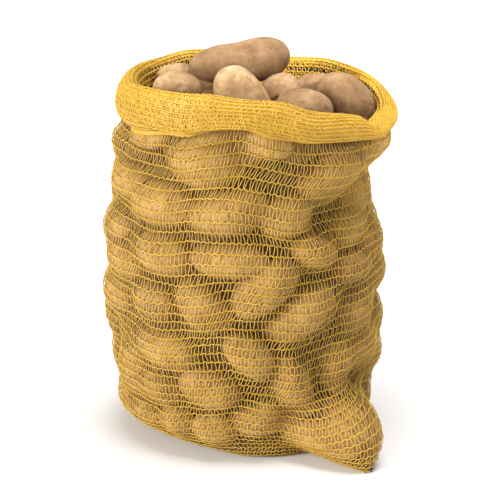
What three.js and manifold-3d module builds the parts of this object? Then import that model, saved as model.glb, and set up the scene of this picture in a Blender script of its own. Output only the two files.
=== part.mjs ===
// A knitted mesh sack full of potatoes, standing open with its mouth rolled down into a cuff.
// Millimetres, +Z up. The origin is the middle of the base, and -Y is the front of the sack.
// A place on the sack is given by its side, in degrees to the right of the front, and its height.
import * as THREE from "three";
import { mergeVertices } from "three/addons/utils/BufferGeometryUtils.js";
import Module from "manifold-3d";

const wasm = await Module();
wasm.setup();

// Driving sizes
const NET_THICKNESS = 2; // one layer of knitted net
const CUFF_THICKNESS = 3; // the rolled layers of the cuff, taken together
const WALL_RADIUS = 155; // mean radius, for lengths along the wall
const BASE_ROUNDING = 45; // height at which the base has curved up into the wall
const CUFF_START = 1.2; // the cuff's section starts this many drops below its crest
const CORD_DIAMETER = 3;
const SEAT_GAP = 0.6; // from a piece to what it lies on
const FILL_CLEARANCE = 1; // from the filling to the net

// How closely the forms are stepped
const TURN_STEPS = 54; // columns round the sack
const CORNER_STEPS = [-17, -10, -3, 3, 10, 17]; // extra columns, in degrees from the corner
const ROUNDING_STEPS = 5;
const WALL_STEPS = 20;
const BASE_RINGS = [0.5, 1]; // shares of the base's outline
const BASE_MIDDLE = { x: 8, y: 5 }; // where the base's triangles meet
const HEAP_RINGS = 8; // rings across the top of the filling
const POTATO_STEPS = { round: 12, along: 9 };
const CORD_STEPS = { along: 72, round: 6 };

// Outline over the tops of the potatoes: half sizes, and how far the middle has leaned aside.
const PROFILE = [
  { height: 45, halfWidth: 156, halfDepth: 137, leanX: -2 },
  { height: 90, halfWidth: 165, halfDepth: 145, leanX: 0 },
  { height: 150, halfWidth: 169, halfDepth: 150, leanX: -3 },
  { height: 205, halfWidth: 171, halfDepth: 151, leanX: -3 },
  { height: 260, halfWidth: 167, halfDepth: 149, leanX: -4 },
  { height: 280, halfWidth: 162, halfDepth: 147, leanX: -6 },
  { height: 300, halfWidth: 156, halfDepth: 146, leanX: -8 },
  { height: 324, halfWidth: 157, halfDepth: 144, leanX: -5 },
  { height: 346, halfWidth: 161, halfDepth: 142, leanX: 3 },
  { height: 364, halfWidth: 163, halfDepth: 139, leanX: 7 },
  { height: 385, halfWidth: 155, halfDepth: 137, leanX: 9 },
  { height: 400, halfWidth: 151, halfDepth: 135, leanX: 9 },
  { height: 440, halfWidth: 147, halfDepth: 133, leanX: 12 },
];

// Reach of the flat base from its middle.
const BASE_OUTLINE = [
  { side: -150, reach: 112 },
  { side: -90, reach: 127 },
  { side: -60, reach: 95 },
  { side: -30, reach: 87 },
  { side: 0, reach: 106 },
  { side: 30, reach: 117 },
  { side: 60, reach: 117 },
  { side: 100, reach: 116 },
  { side: 150, reach: 110 },
];

// The bottom corner of the sack, which stands out at the front right with a potato in it.
const CORNER_SIDE = 46;
const CORNER = [
  { height: 0, side: 44, reach: 85, spread: 5 },
  { height: 8, side: 44.5, reach: 79, spread: 8 },
  { height: 22, side: 45, reach: 71, spread: 13 },
  { height: 42, side: 46, reach: 61, spread: 17 },
  { height: 62, side: 46, reach: 46, spread: 17 },
  { height: 80, side: 46, reach: 20, spread: 16 },
  { height: 98, side: 46, reach: 0, spread: 15 },
];
const CORNER_ROUNDNESS = 2.6; // 2 falls away evenly, more is fuller

// The potatoes that press on the front of the net. Tilt is how far the long axis rises to the right.
const FRONT_POTATOES = [
  { side: -60, height: 388, halfLength: 34, halfWidth: 22, tilt: 5 },
  { side: 8, height: 388, halfLength: 29, halfWidth: 19, tilt: -15 },
  { side: -26, height: 366, halfLength: 46, halfWidth: 32, tilt: -15 },
  { side: 80, height: 366, halfLength: 38, halfWidth: 27, tilt: 0 },
  { side: 47, height: 340, halfLength: 44, halfWidth: 27, tilt: 8 },
  { side: -70, height: 324, halfLength: 36, halfWidth: 23, tilt: 0 },
  { side: -44, height: 309, halfLength: 45, halfWidth: 27, tilt: 0 },
  { side: -6, height: 308, halfLength: 46, halfWidth: 29, tilt: 12 },
  { side: 24, height: 302, halfLength: 31, halfWidth: 26, tilt: 0 },
  { side: 60, height: 276, halfLength: 31, halfWidth: 22, tilt: 30 },
  { side: -78, height: 264, halfLength: 36, halfWidth: 25, tilt: 5 },
  { side: -42, height: 252, halfLength: 38, halfWidth: 26, tilt: -5 },
  { side: -7, height: 254, halfLength: 45, halfWidth: 23, tilt: 0 },
  { side: 36, height: 258, halfLength: 28, halfWidth: 19, tilt: -20 },
  { side: 77, height: 248, halfLength: 34, halfWidth: 27, tilt: 10 },
  { side: -67, height: 230, halfLength: 36, halfWidth: 23, tilt: -10 },
  { side: 58, height: 229, halfLength: 29, halfWidth: 20, tilt: 0 },
  { side: 11, height: 221, halfLength: 46, halfWidth: 27, tilt: 45 },
  { side: -45, height: 193, halfLength: 28, halfWidth: 23, tilt: -30 },
  { side: -20, height: 195, halfLength: 37, halfWidth: 27, tilt: -50 },
  { side: 31, height: 186, halfLength: 46, halfWidth: 28, tilt: 35 },
  { side: 62, height: 172, halfLength: 36, halfWidth: 26, tilt: 80 },
  { side: 80, height: 206, halfLength: 36, halfWidth: 25, tilt: 0 },
  { side: -76, height: 184, halfLength: 38, halfWidth: 26, tilt: 0 },
  { side: -42, height: 134, halfLength: 45, halfWidth: 27, tilt: 0 },
  { side: 3, height: 137, halfLength: 36, halfWidth: 24, tilt: -50 },
  { side: 67, height: 122, halfLength: 32, halfWidth: 25, tilt: 10 },
  { side: 49, height: 110, halfLength: 33, halfWidth: 22, tilt: 65 },
  { side: 24, height: 99, halfLength: 42, halfWidth: 22, tilt: -75 },
  { side: -66, height: 88, halfLength: 36, halfWidth: 27, tilt: 80 },
  { side: -19, height: 92, halfLength: 37, halfWidth: 27, tilt: -12 },
  { side: -48, height: 82, halfLength: 34, halfWidth: 23, tilt: 0 },
  { side: 10, height: 54, halfLength: 37, halfWidth: 25, tilt: 10 },
  { side: 31, height: 36, halfLength: 31, halfWidth: 20, tilt: 5 },
  { side: -17, height: 39, halfLength: 29, halfWidth: 21, tilt: 0 },
  { side: -38, height: 43, halfLength: 24, halfWidth: 20, tilt: 0 },
  { side: -62, height: 38, halfLength: 30, halfWidth: 20, tilt: -10 },
  { side: CORNER_SIDE, height: 40, halfLength: 40, halfWidth: 34, tilt: -70 },
];

// The layers of potatoes round the back, each from its first side onwards.
const BACK_LAYERS = [
  { height: 42, first: 76, count: 8 },
  { height: 95, first: 86, count: 7 },
  { height: 146, first: 92, count: 7 },
  { height: 202, first: 106, count: 6 },
  { height: 256, first: 103, count: 6 },
  { height: 308, first: 82, count: 7 },
  { height: 362, first: 98, count: 7 },
];
const BACK_SPACING = 29; // degrees from one potato to the next in a layer
const BACK_SIZES = { halfLength: 40, halfWidth: 26, vary: 5, tilt: 40, drift: 7 };

// How the net spans the potatoes
const LUMP_REACH = 1.15; // a lump spreads this much further than its potato
const LUMP_FALL = 12; // how far the net has sunk at a lump's edge
const LUMP_SOFTNESS = 4.5; // rounding of the valleys between lumps
const DEEPEST_VALLEY = 14;
const FILL_FALL = 2.2; // the filling's valleys are this many times as deep as the net's

// Creases where the net is drawn in, each along a straight run of the wall.
const CREASES = [
  { fromSide: 12, fromHeight: 52, toSide: 64, toHeight: 96, depth: 9, halfWidth: 14 },
  { fromSide: 33, fromHeight: 290, toSide: 74, toHeight: 314, depth: 5, halfWidth: 15 },
  { fromSide: -66, fromHeight: 364, toSide: -24, toHeight: 336, depth: 5, halfWidth: 15 },
  { fromSide: -72, fromHeight: 302, toSide: -44, toHeight: 284, depth: 3, halfWidth: 15 },
];

// The cuff round the mouth: height of its crest, how far it hangs down, its extra fullness outwards,
// and how far its roll bulges inwards.
const CUFF = [
  { side: -175, crest: 433, drop: 38, fullness: 0, roll: 0 },
  { side: -145, crest: 440, drop: 40, fullness: 1, roll: 0 },
  { side: -128, crest: 437, drop: 40, fullness: 2, roll: 2 },
  { side: -105, crest: 436, drop: 40, fullness: 3, roll: 2 },
  { side: -85, crest: 430, drop: 36, fullness: 3, roll: 10 },
  { side: -66, crest: 435, drop: 43, fullness: 2, roll: 22 },
  { side: -50, crest: 439, drop: 43, fullness: 1, roll: 9 },
  { side: -32, crest: 442, drop: 42, fullness: 1, roll: 0 },
  { side: -22, crest: 443, drop: 37, fullness: 0, roll: 0 },
  { side: -5, crest: 439, drop: 31, fullness: 0, roll: 0 },
  { side: 12, crest: 436, drop: 36, fullness: 0, roll: 0 },
  { side: 26, crest: 424, drop: 33, fullness: 1, roll: 0 },
  { side: 42, crest: 416, drop: 29, fullness: 1, roll: 0 },
  { side: 53, crest: 409, drop: 25, fullness: 2, roll: 2 },
  { side: 61, crest: 397, drop: 15, fullness: 4, roll: 2 },
  { side: 72, crest: 400, drop: 16, fullness: 5, roll: 2 },
  { side: 90, crest: 406, drop: 19, fullness: 5, roll: 0 },
  { side: 112, crest: 420, drop: 30, fullness: 3, roll: 0 },
  { side: 138, crest: 429, drop: 38, fullness: 1, roll: 0 },
  { side: 160, crest: 428, drop: 38, fullness: 1, roll: 0 },
];

// Section of the cuff, from the wall up over the crest and down to the rolled edge.
const CUFF_SECTION = [
  { out: -6, down: 0.85, full: 0, inward: 0.2 },
  { out: -6, down: 0.6, full: 0, inward: 0.6 },
  { out: -6, down: 0.35, full: 0, inward: 1 },
  { out: -5, down: 0.14, full: 0, inward: 0.8 },
  { out: 0, down: 0, full: 0, inward: 0.25 },
  { out: 5, down: 0.06, full: 0.4, inward: 0 },
  { out: 8, down: 0.22, full: 0.7, inward: 0 },
  { out: 9.5, down: 0.45, full: 1, inward: 0 },
  { out: 10, down: 0.7, full: 1, inward: 0 },
  { out: 9, down: 0.9, full: 1, inward: 0 },
  { out: 6, down: 1, full: 0.8, inward: 0 },
  { out: 2.6, down: 0.96, full: 0.6, inward: 0 },
];
const CREST_ROW = 4; // the row of the section that lies on the crest

// The drawstring in the hollow of the cuff: how far under the crest, and from which layer it hangs
// (0 against the inner layer, 1 against the outer one).
const DRAWSTRING = [
  { side: -165, down: 12, lean: 0 },
  { side: -130, down: 8, lean: 0.3 },
  { side: -100, down: 12, lean: 0 },
  { side: -40, down: 14, lean: 0 },
  { side: 20, down: 14, lean: 0 },
  { side: 52, down: 10, lean: 0.4 },
  { side: 75, down: 8, lean: 0.7 },
  { side: 98, down: 10, lean: 0.6 },
  { side: 125, down: 13, lean: 0 },
  { side: 155, down: 13, lean: 0 },
];
const ROLL_HOLD = 0.85; // share of the roll's bulge that the cord follows

// The loose potatoes in the mouth: middle, half sizes, turn about Z, and rise of the right-hand end.
// Taper makes the right-hand end fuller, and waist draws the middle in.
const TOP_POTATOES = [
  { x: -9, y: 30, z: 445, halfLength: 60, halfWidth: 27, turn: 0, rise: 7, taper: 0.15, waist: 0.09 },
  { x: -78, y: -24, z: 424, halfLength: 29, halfWidth: 22, turn: 10, rise: -6, taper: 0.05, waist: 0 },
  { x: -3, y: -50, z: 422, halfLength: 38, halfWidth: 27, turn: -8, rise: -50, taper: -0.08, waist: 0 },
  { x: 40, y: -12, z: 418, halfLength: 26, halfWidth: 24, turn: 40, rise: 10, taper: 0, waist: 0 },
  { x: 68, y: -61, z: 411, halfLength: 33, halfWidth: 25, turn: 8, rise: -14, taper: 0.06, waist: 0 },
  { x: 82, y: 32, z: 408, halfLength: 30, halfWidth: 23, turn: -12, rise: 6, taper: 0, waist: 0 },
  { x: 115, y: -18, z: 411, halfLength: 36, halfWidth: 28, turn: 4, rise: -38, taper: 0.05, waist: 0 },
  { x: -84, y: 51, z: 420, halfLength: 24, halfWidth: 19, turn: -10, rise: 10, taper: 0, waist: 0 },
];
const POTATO_THICKNESS = 0.94; // of the half width
const POTATO_FULLNESS = 2.5; // 2 is an egg's outline, more has blunter ends
const SOCKET_SCALE = 1.025; // a potato's seat in the heap, to the potato itself

// The top of the heap, which rises under each loose potato to carry it.
const HEAP_LEVEL = 386;
const HEAP_EDGE = 0.84; // the level part's reach, to that of the filling's rim
const SEAT_DEPTH = 0.3; // the heap rises to this share of the half width below a potato's middle
const SEAT_FALL = 16; // and has fallen this far at the potato's half width

const MATERIALS = {
  net: new THREE.MeshStandardMaterial({ color: 0xe3ac2e, roughness: 0.55 }),
  drawstring: new THREE.MeshStandardMaterial({ color: 0x1c2046, roughness: 0.6 }),
  potato: new THREE.MeshStandardMaterial({ color: 0xb9905f, roughness: 0.85 }),
};

const radians = THREE.MathUtils.degToRad;

// The smooth value of each column of a table, between the two rows on either side of a place.
function readTable(rows, key, at, period = 0) {
  const row = (i) => {
    if (!period) return rows[THREE.MathUtils.clamp(i, 0, rows.length - 1)];
    const turns = Math.floor(i / rows.length);
    const found = rows[i - turns * rows.length];
    return { ...found, [key]: found[key] + turns * period };
  };
  const first = rows[0][key];
  const place = period ? THREE.MathUtils.euclideanModulo(at - first, period) + first : at;
  let i = 0;
  while (i < rows.length - 1 && rows[i + 1][key] <= place) i++;
  const [before, low, high, after] = [row(i - 1), row(i), row(i + 1), row(i + 2)];
  const span = high[key] - low[key];
  const t = span > 0 ? THREE.MathUtils.clamp((place - low[key]) / span, 0, 1) : 0;
  const value = (column) => {
    const startSlope = ((high[column] - before[column]) / (high[key] - before[key] || 1)) * span;
    const endSlope = ((after[column] - low[column]) / (after[key] - low[key] || 1)) * span;
    const rise = high[column] - low[column];
    const curve = startSlope + endSlope - 2 * rise;
    return low[column] + t * (startSlope + t * (3 * rise - 2 * startSlope - endSlope + t * curve));
  };
  return Object.fromEntries(Object.keys(low).map((column) => [column, value(column)]));
}

const around = (rows, side) => readTable(rows, "side", side, 360);

// Degrees from one side to another, the short way round.
const sideBetween = (from, to) => THREE.MathUtils.euclideanModulo(to - from + 180, 360) - 180;

// A number from 0 to 1 that is always the same for the same whole number.
function steadyRandom(n) {
  const spread = Math.sin(n * 12.9898 + 4.1414) * 43758.5453;
  return spread - Math.floor(spread);
}

// The point at a reach from the sack's middle line, on one side and at one height.
function pointOn(side, reach, height, leanX = 0) {
  const angle = radians(side);
  return new THREE.Vector3(leanX + reach * Math.sin(angle), -reach * Math.cos(angle), height);
}

function ovalReach(side, halfWidth, halfDepth) {
  const angle = radians(side);
  return 1 / Math.hypot(Math.sin(angle) / halfWidth, Math.cos(angle) / halfDepth);
}

// All potatoes that press on the net: those of the front table and the layers of the back.
function wallPotatoes() {
  const back = BACK_LAYERS.flatMap((layer, row) =>
    Array.from({ length: layer.count }, (_, place) => {
      const vary = (n) => 2 * steadyRandom(100 * row + 7 * place + n) - 1;
      return {
        side: layer.first + BACK_SPACING * place + vary(1) * 4,
        height: layer.height + vary(2) * BACK_SIZES.drift,
        halfLength: BACK_SIZES.halfLength + vary(3) * BACK_SIZES.vary,
        halfWidth: BACK_SIZES.halfWidth + vary(4) * BACK_SIZES.vary * 0.6,
        tilt: vary(5) * BACK_SIZES.tilt,
      };
    }),
  );
  return [...FRONT_POTATOES, ...back];
}
const WALL_POTATOES = wallPotatoes();

// How far the net lies inside the outline at a place: sunk between the lumps, level on their tops.
function lumpDepth(side, height) {
  let sum = 0;
  for (const potato of WALL_POTATOES) {
    const x = radians(sideBetween(potato.side, side)) * WALL_RADIUS;
    const z = height - potato.height;
    const tilt = radians(potato.tilt);
    const along = (x * Math.cos(tilt) + z * Math.sin(tilt)) / (potato.halfLength * LUMP_REACH);
    const across = (z * Math.cos(tilt) - x * Math.sin(tilt)) / (potato.halfWidth * LUMP_REACH);
    sum += Math.exp((-LUMP_FALL * (along * along + across * across)) / LUMP_SOFTNESS);
  }
  return Math.min(-LUMP_SOFTNESS * Math.log(sum + 1e-12), DEEPEST_VALLEY);
}

// How far the creases draw the net in at a place.
function creaseDepth(side, height) {
  let depth = 0;
  for (const crease of CREASES) {
    const across = (to) => radians(sideBetween(crease.fromSide, to)) * WALL_RADIUS;
    const run = new THREE.Vector2(across(crease.toSide), crease.toHeight - crease.fromHeight);
    const offset = new THREE.Vector2(across(side), height - crease.fromHeight);
    const share = offset.dot(run) / run.lengthSq();
    const away = offset.sub(run.clone().multiplyScalar(share)).length() / crease.halfWidth;
    const start = THREE.MathUtils.smoothstep(share, -0.1, 0.15);
    const end = 1 - THREE.MathUtils.smoothstep(share, 0.85, 1.1);
    depth += crease.depth * start * end * Math.exp(-away * away);
  }
  return depth;
}

// Extra reach of the sack at its bottom corner.
function cornerReach(side, height) {
  const corner = readTable(CORNER, "height", height);
  const away = Math.abs(sideBetween(corner.side, side)) / corner.spread;
  return Math.max(corner.reach, 0) * Math.exp(-(away ** CORNER_ROUNDNESS));
}

// Reach of the wall over its potatoes, before it sinks between them.
function outlineReach(side, height) {
  const level = readTable(PROFILE, "height", Math.max(height, BASE_ROUNDING));
  const wall = ovalReach(side, level.halfWidth, level.halfDepth);
  const base = around(BASE_OUTLINE, side).reach;
  const rise = THREE.MathUtils.clamp(height / BASE_ROUNDING, 0, 1);
  const share = Math.sqrt(1 - (1 - rise) ** 2);
  const reach = base + (wall - base) * share + cornerReach(side, height);
  return { reach, leanX: level.leanX * rise, share };
}

// A point of the net's wall, or of the filling behind it if fall and inset say so.
function wallPoint(side, height, fall = 1, inset = 0) {
  const outline = outlineReach(side, height);
  const sunk = (lumpDepth(side, height) * fall + creaseDepth(side, height)) * outline.share;
  return pointOn(side, outline.reach - sunk - inset, height, outline.leanX);
}

// Sides of all columns, in order round the sack.
const SIDES = [
  ...Array.from({ length: TURN_STEPS }, (_, i) => -180 + (i * 360) / TURN_STEPS),
  ...CORNER_STEPS.map((step) => CORNER_SIDE + step),
].sort((a, b) => a - b);

// Heights of the wall's rings on one side, from the base's rounding up to a given height.
function wallHeights(top) {
  const rounding = Array.from({ length: ROUNDING_STEPS }, (_, i) => {
    const angle = ((i + 1) / ROUNDING_STEPS) * (Math.PI / 2);
    return BASE_ROUNDING * (1 - Math.cos(angle));
  });
  const wall = Array.from(
    { length: WALL_STEPS },
    (_, i) => BASE_ROUNDING + ((i + 1) / WALL_STEPS) * (top - BASE_ROUNDING),
  );
  return [...rounding, ...wall];
}

// Where the crest of the cuff runs on one side.
function crestPoint(side) {
  const cuff = around(CUFF, side);
  const level = readTable(PROFILE, "height", cuff.crest);
  return { ...cuff, reach: ovalReach(side, level.halfWidth, level.halfDepth), leanX: level.leanX };
}

const wallTop = (side) => {
  const cuff = around(CUFF, side);
  return cuff.crest - cuff.drop * CUFF_START;
};

// The run of the sheet on one side: over the base, up the wall, over the crest, down the cuff.
function sheetColumn(side) {
  const base = around(BASE_OUTLINE, side).reach + cornerReach(side, 0);
  const crest = crestPoint(side);
  return [
    ...BASE_RINGS.map((share) => pointOn(side, base * share, NET_THICKNESS / 2)),
    ...wallHeights(wallTop(side)).map((height) => wallPoint(side, height)),
    ...CUFF_SECTION.map((row) => {
      const out = row.out + row.full * crest.fullness - row.inward * crest.roll;
      return pointOn(side, crest.reach + out, crest.crest - row.down * crest.drop, crest.leanX);
    }),
  ];
}

// Triangles between two neighbouring rings of a grid whose points are stored ring after ring.
function ringTriangles(lower, upper, columns, outward) {
  const faces = [];
  for (let i = 0; i < columns; i++) {
    const next = (i + 1) % columns;
    const [a, b, c, d] = [lower + i, lower + next, upper + next, upper + i];
    faces.push(...(outward ? [a, b, c, a, c, d] : [a, c, b, a, d, c]));
  }
  return faces;
}

// Triangles that close a ring on one point.
function fanTriangles(tip, ring, columns, outward) {
  const faces = [];
  for (let i = 0; i < columns; i++) {
    const next = (i + 1) % columns;
    faces.push(...(outward ? [tip, ring + next, ring + i] : [tip, ring + i, ring + next]));
  }
  return faces;
}

function geometryOf(points, faces) {
  const geometry = new THREE.BufferGeometry().setFromPoints(points);
  geometry.setIndex(faces);
  geometry.computeVertexNormals();
  return geometry;
}

// A sheet of given thickness about columns of points that all start at the middle of the base.
function thickSheet(columns, thicknessOf, flatRings) {
  const count = columns.length;
  const rings = columns[0].length;
  const normalAt = (i, j) => {
    if (j < flatRings) return new THREE.Vector3(0, 0, -1);
    const across = columns[(i + 1) % count][j].clone().sub(columns[(i + count - 1) % count][j]);
    const along = columns[i][Math.min(j + 1, rings - 1)].clone().sub(columns[i][j - 1]);
    return across.cross(along).normalize();
  };
  const skin = (side) => {
    const points = [];
    for (let j = 0; j < rings; j++)
      for (let i = 0; i < count; i++)
        points.push(columns[i][j].clone().addScaledVector(normalAt(i, j), (side * thicknessOf(j)) / 2));
    return points;
  };
  const outer = skin(1);
  const inner = skin(-1);
  const middle = (height) => new THREE.Vector3(BASE_MIDDLE.x, BASE_MIDDLE.y, height);
  const points = [...outer, ...inner, middle(0), middle(thicknessOf(0))];
  const innerStart = outer.length;
  const faces = [];
  for (let j = 0; j < rings - 1; j++) {
    faces.push(...ringTriangles(j * count, (j + 1) * count, count, true));
    faces.push(...ringTriangles(innerStart + j * count, innerStart + (j + 1) * count, count, false));
  }
  const lastRing = (rings - 1) * count;
  faces.push(...ringTriangles(lastRing, innerStart + lastRing, count, true));
  faces.push(...fanTriangles(2 * innerStart, 0, count, true));
  faces.push(...fanTriangles(2 * innerStart + 1, innerStart, count, false));
  return geometryOf(points, faces);
}

// The net sack: base, wall and rolled cuff in one sheet.
function netSack() {
  const columns = SIDES.map(sheetColumn);
  const crestRing = columns[0].length - CUFF_SECTION.length + CREST_ROW;
  const thicknessOf = (ring) => (ring < crestRing ? NET_THICKNESS : CUFF_THICKNESS);
  return thickSheet(columns, thicknessOf, BASE_RINGS.length);
}

// The drawstring, one loop in the hollow of the cuff.
function drawstring() {
  const [inner] = CUFF_SECTION;
  const innerFace = inner.out + (NET_THICKNESS + CORD_DIAMETER) / 2 + SEAT_GAP;
  const points = SIDES.map((side) => {
    const crest = crestPoint(side);
    const route = around(DRAWSTRING, side);
    const layer = readTable(CUFF_SECTION.slice(CREST_ROW), "down", route.down / crest.drop);
    const outerFace =
      layer.out + layer.full * crest.fullness - (CUFF_THICKNESS + CORD_DIAMETER) / 2 - SEAT_GAP;
    const inward = innerFace - crest.roll * ROLL_HOLD;
    const out = THREE.MathUtils.lerp(inward, outerFace, THREE.MathUtils.clamp(route.lean, 0, 1));
    return pointOn(side, crest.reach + out, crest.crest - route.down, crest.leanX);
  });
  const route = new THREE.CatmullRomCurve3(points, true);
  return new THREE.TubeGeometry(route, CORD_STEPS.along, CORD_DIAMETER / 2, CORD_STEPS.round, true);
}

// A potato with its long axis along X.
function potatoGeometry({ halfLength, halfWidth, taper, waist }, scale = 1) {
  const geometry = new THREE.SphereGeometry(1, POTATO_STEPS.round, POTATO_STEPS.along);
  geometry.rotateZ(-Math.PI / 2);
  const position = geometry.getAttribute("position");
  for (let i = 0; i < position.count; i++) {
    const along = position.getX(i);
    const round = Math.max(1 - along * along, 1e-6);
    const blunt = Math.sqrt(Math.max(1 - Math.abs(along) ** POTATO_FULLNESS, 0) / round);
    const girth = blunt * (1 + taper * along) * (1 - waist * Math.exp(-((along / 0.35) ** 2)));
    position.setXYZ(
      i,
      along * halfLength * scale,
      position.getY(i) * halfWidth * girth * scale,
      position.getZ(i) * halfWidth * POTATO_THICKNESS * girth * scale,
    );
  }
  return geometry;
}

function potatoMatrix({ x, y, z, turn, rise }) {
  const rotation = new THREE.Euler(0, radians(-rise), radians(turn), "ZYX");
  return new THREE.Matrix4().makeRotationFromEuler(rotation).setPosition(x, y, z);
}

// A closed geometry as a solid that can be cut, and back again.
function solidOf(geometry) {
  const bare = new THREE.BufferGeometry();
  bare.setAttribute("position", geometry.getAttribute("position"));
  bare.setIndex(geometry.index);
  const merged = mergeVertices(bare, 1e-3);
  return new wasm.Manifold(
    new wasm.Mesh({
      numProp: 3,
      vertProperties: merged.getAttribute("position").array,
      triVerts: new Uint32Array(merged.index.array),
    }),
  );
}

function geometryFrom(solid) {
  const mesh = solid.getMesh();
  const geometry = new THREE.BufferGeometry();
  geometry.setAttribute("position", new THREE.BufferAttribute(mesh.vertProperties, mesh.numProp));
  geometry.setIndex(new THREE.BufferAttribute(mesh.triVerts, 1));
  geometry.computeVertexNormals();
  return geometry;
}

// Height of the heap's top at a place in plan.
function heapTop(x, y) {
  const rises = TOP_POTATOES.map((potato) => {
    const away = Math.hypot(x - potato.x, y - potato.y) / potato.halfWidth;
    return potato.z - SEAT_DEPTH * potato.halfWidth - SEAT_FALL * away * away;
  });
  return Math.max(HEAP_LEVEL, ...rises);
}

// The heap of potatoes below the mouth: one lumpy body with a seat for each loose potato.
function potatoHeap() {
  const floor = NET_THICKNESS + SEAT_GAP;
  const inset = NET_THICKNESS / 2 + FILL_CLEARANCE;
  const columns = SIDES.map((side) => {
    const sides = wallHeights(wallTop(side))
      .filter((height) => height > 2 * floor)
      .slice(0, -1)
      .map((height) => wallPoint(side, height, FILL_FALL, inset));
    const base = pointOn(side, (around(BASE_OUTLINE, side).reach + cornerReach(side, 0)) * 0.9, floor);
    const rim = sides.at(-1);
    const top = Array.from({ length: HEAP_RINGS }, (_, ring) => {
      const share = HEAP_EDGE * (1 - ring / HEAP_RINGS);
      return new THREE.Vector3(rim.x * share, rim.y * share, heapTop(rim.x * share, rim.y * share));
    });
    return [base, ...sides, ...top];
  });
  const count = columns.length;
  const rings = columns[0].length;
  const points = [];
  for (let j = 0; j < rings; j++) for (let i = 0; i < count; i++) points.push(columns[i][j]);
  points.push(new THREE.Vector3(0, 0, floor));
  points.push(new THREE.Vector3(0, 0, heapTop(0, 0)));
  const faces = [];
  for (let j = 0; j < rings - 1; j++) faces.push(...ringTriangles(j * count, (j + 1) * count, count, true));
  faces.push(...fanTriangles(rings * count, 0, count, true));
  faces.push(...fanTriangles(rings * count + 1, (rings - 1) * count, count, false));
  let heap = solidOf(geometryOf(points, faces));
  for (const potato of TOP_POTATOES) {
    const seat = potatoGeometry(potato, SOCKET_SCALE).applyMatrix4(potatoMatrix(potato));
    heap = heap.subtract(solidOf(seat));
  }
  return geometryFrom(heap);
}

function named(name, geometry, material) {
  const mesh = new THREE.Mesh(geometry, material);
  mesh.name = name;
  return mesh;
}

const sack = new THREE.Group();
sack.add(named("sack_net", netSack(), MATERIALS.net));
sack.add(named("drawstring", drawstring(), MATERIALS.drawstring));
sack.add(named("potato_heap", potatoHeap(), MATERIALS.potato));
TOP_POTATOES.forEach((potato, i) => {
  const mesh = named(`potato_top_${i + 1}`, potatoGeometry(potato), MATERIALS.potato);
  mesh.applyMatrix4(potatoMatrix(potato));
  sack.add(mesh);
});

export default sack;
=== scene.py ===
"""Looks of a knitted mesh sack full of potatoes: its yarn, its drawstring and the potatoes in it.

Sizes are in millimetres here, as the real sack is measured, and become metres when a mesh is made.
A place on the sack is its side, in degrees to the right of the front, and its height.
"""

import bmesh
import bpy
import numpy as np
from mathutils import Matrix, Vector


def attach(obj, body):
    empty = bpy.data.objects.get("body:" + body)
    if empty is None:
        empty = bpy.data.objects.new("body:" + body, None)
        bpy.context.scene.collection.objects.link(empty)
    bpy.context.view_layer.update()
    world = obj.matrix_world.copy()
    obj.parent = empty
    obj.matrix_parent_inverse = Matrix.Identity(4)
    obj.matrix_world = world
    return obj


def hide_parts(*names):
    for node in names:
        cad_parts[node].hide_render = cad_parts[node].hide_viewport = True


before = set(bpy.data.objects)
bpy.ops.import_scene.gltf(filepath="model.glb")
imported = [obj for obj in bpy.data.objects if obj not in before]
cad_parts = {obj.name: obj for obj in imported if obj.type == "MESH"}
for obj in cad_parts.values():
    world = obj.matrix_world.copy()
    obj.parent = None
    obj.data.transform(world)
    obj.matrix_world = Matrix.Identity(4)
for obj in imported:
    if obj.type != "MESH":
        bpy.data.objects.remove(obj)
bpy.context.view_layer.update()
MM = 0.001


def table(names, *rows):
    """The named columns of a short table, as arrays."""
    return {name: np.array(column, float) for name, column in zip(names.split(), zip(*rows))}


def rows_of(columns):
    """The rows of a table, one after the other."""
    return zip(*columns.values())


# Outline over the tops of the potatoes, and how far the middle has leaned aside
PROFILE = table(
    "height half_width half_depth lean_x",
    (45, 156, 137, -2),
    (90, 165, 145, 0),
    (150, 169, 150, -3),
    (205, 171, 151, -3),
    (260, 167, 149, -4),
    (280, 162, 147, -6),
    (300, 156, 146, -8),
    (324, 157, 144, -5),
    (346, 161, 142, 3),
    (364, 163, 139, 7),
    (385, 155, 137, 9),
    (400, 151, 135, 9),
    (440, 147, 133, 12),
)
# Radius at which degrees round the wall become lengths, and the height of the rounding at its foot
WALL_RADIUS = 155
BASE_ROUNDING = 45

# Reach of the flat base from its middle
BASE_OUTLINE = table(
    "side reach",
    (-150, 112),
    (-90, 127),
    (-60, 95),
    (-30, 87),
    (0, 106),
    (30, 117),
    (60, 117),
    (100, 116),
    (150, 110),
)

# The bottom corner that stands out at the front right with a potato in it
CORNER_SIDE = 46
CORNER_ROUNDNESS = 2.6
CORNER = table(
    "height side reach spread",
    (0, 44, 85, 5),
    (8, 44.5, 79, 8),
    (22, 45, 71, 13),
    (42, 46, 61, 17),
    (62, 46, 46, 17),
    (80, 46, 20, 16),
    (98, 46, 0, 15),
)

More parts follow.
